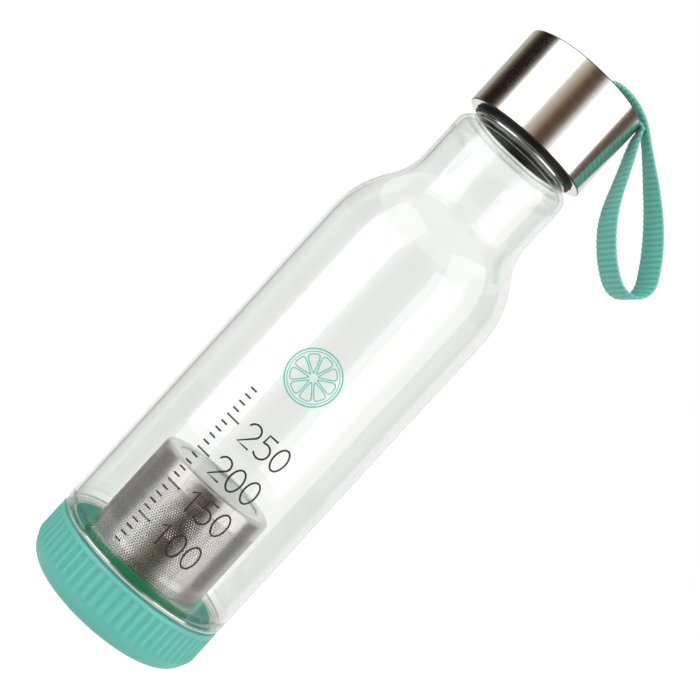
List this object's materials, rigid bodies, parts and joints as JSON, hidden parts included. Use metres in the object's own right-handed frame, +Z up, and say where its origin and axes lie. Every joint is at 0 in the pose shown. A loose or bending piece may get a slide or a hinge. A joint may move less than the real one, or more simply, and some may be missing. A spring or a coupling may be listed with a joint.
{
  "type": "fruit infuser water bottle",
  "caption": "Clear glass water bottle with a screw-on ribbed base that carries an upright perforated steel infuser, and a screw-on steel lid with a webbing carry loop.",
  "frame": {"origin": "middle of the face the bottle stands on", "axes": "+Z up along the bottle's axis, +X towards the side that the carry loop hangs on"},
  "size_m": [0.1006, 0.07, 0.2519],
  "materials": {
    "glass": "clear polished",
    "teal_plastic": "satin moulded",
    "green_plastic": "satin moulded",
    "silicone": "matte translucent",
    "infuser_steel": "satin",
    "lid_steel": "finely brushed, bright",
    "rivet_steel": "polished",
    "liner_plastic": "smooth moulded",
    "webbing": "ribbed woven"
  },
  "bodies": {
    "base": {"base_cap": "teal_plastic"},
    "base_ring": {"base_seal": "silicone"},
    "infuser": {"infuser_collar": "green_plastic", "infuser_wall": "infuser_steel", "infuser_shoulder": "infuser_steel", "infuser_mesh": "infuser_steel"},
    "bottle": {"bottle_body": "glass"},
    "lid_ring": {"lid_seal": "silicone"},
    "lid": {"lid_shell": "lid_steel", "lid_liner": "liner_plastic", "strap_rivet": "rivet_steel", "rivet_washer": "rivet_steel", "carry_strap": "webbing"}
  },
  "joints": [
    {"name": "bottle_turn", "type": "hinge", "parent": "base", "child": "base_ring", "pos_m": [0, 0, 0.013], "axis": [0, 0, 1], "range_deg": [0, 720]},
    {"name": "bottle_rise", "type": "slide", "parent": "base_ring", "child": "bottle", "axis": [0, 0, 1], "range_m": [0, 0.0161]},
    {"name": "infuser_lift", "type": "slide", "parent": "base", "child": "infuser", "axis": [0, 0, 1], "range_m": [0, 0.025]},
    {"name": "lid_rise", "type": "slide", "parent": "bottle", "child": "lid_ring", "axis": [0, 0, 1], "range_m": [0, 0.0161]},
    {"name": "lid_turn", "type": "hinge", "parent": "lid_ring", "child": "lid", "pos_m": [0, 0, 0.223], "axis": [0, 0, 1], "range_deg": [0, 720]}
  ],
  "couplings": [
    {"joint": "bottle_rise", "follows": "bottle_turn", "m_per_rad": 0.0012732},
    {"joint": "lid_rise", "follows": "lid_turn", "m_per_rad": 0.0012732}
  ]
}
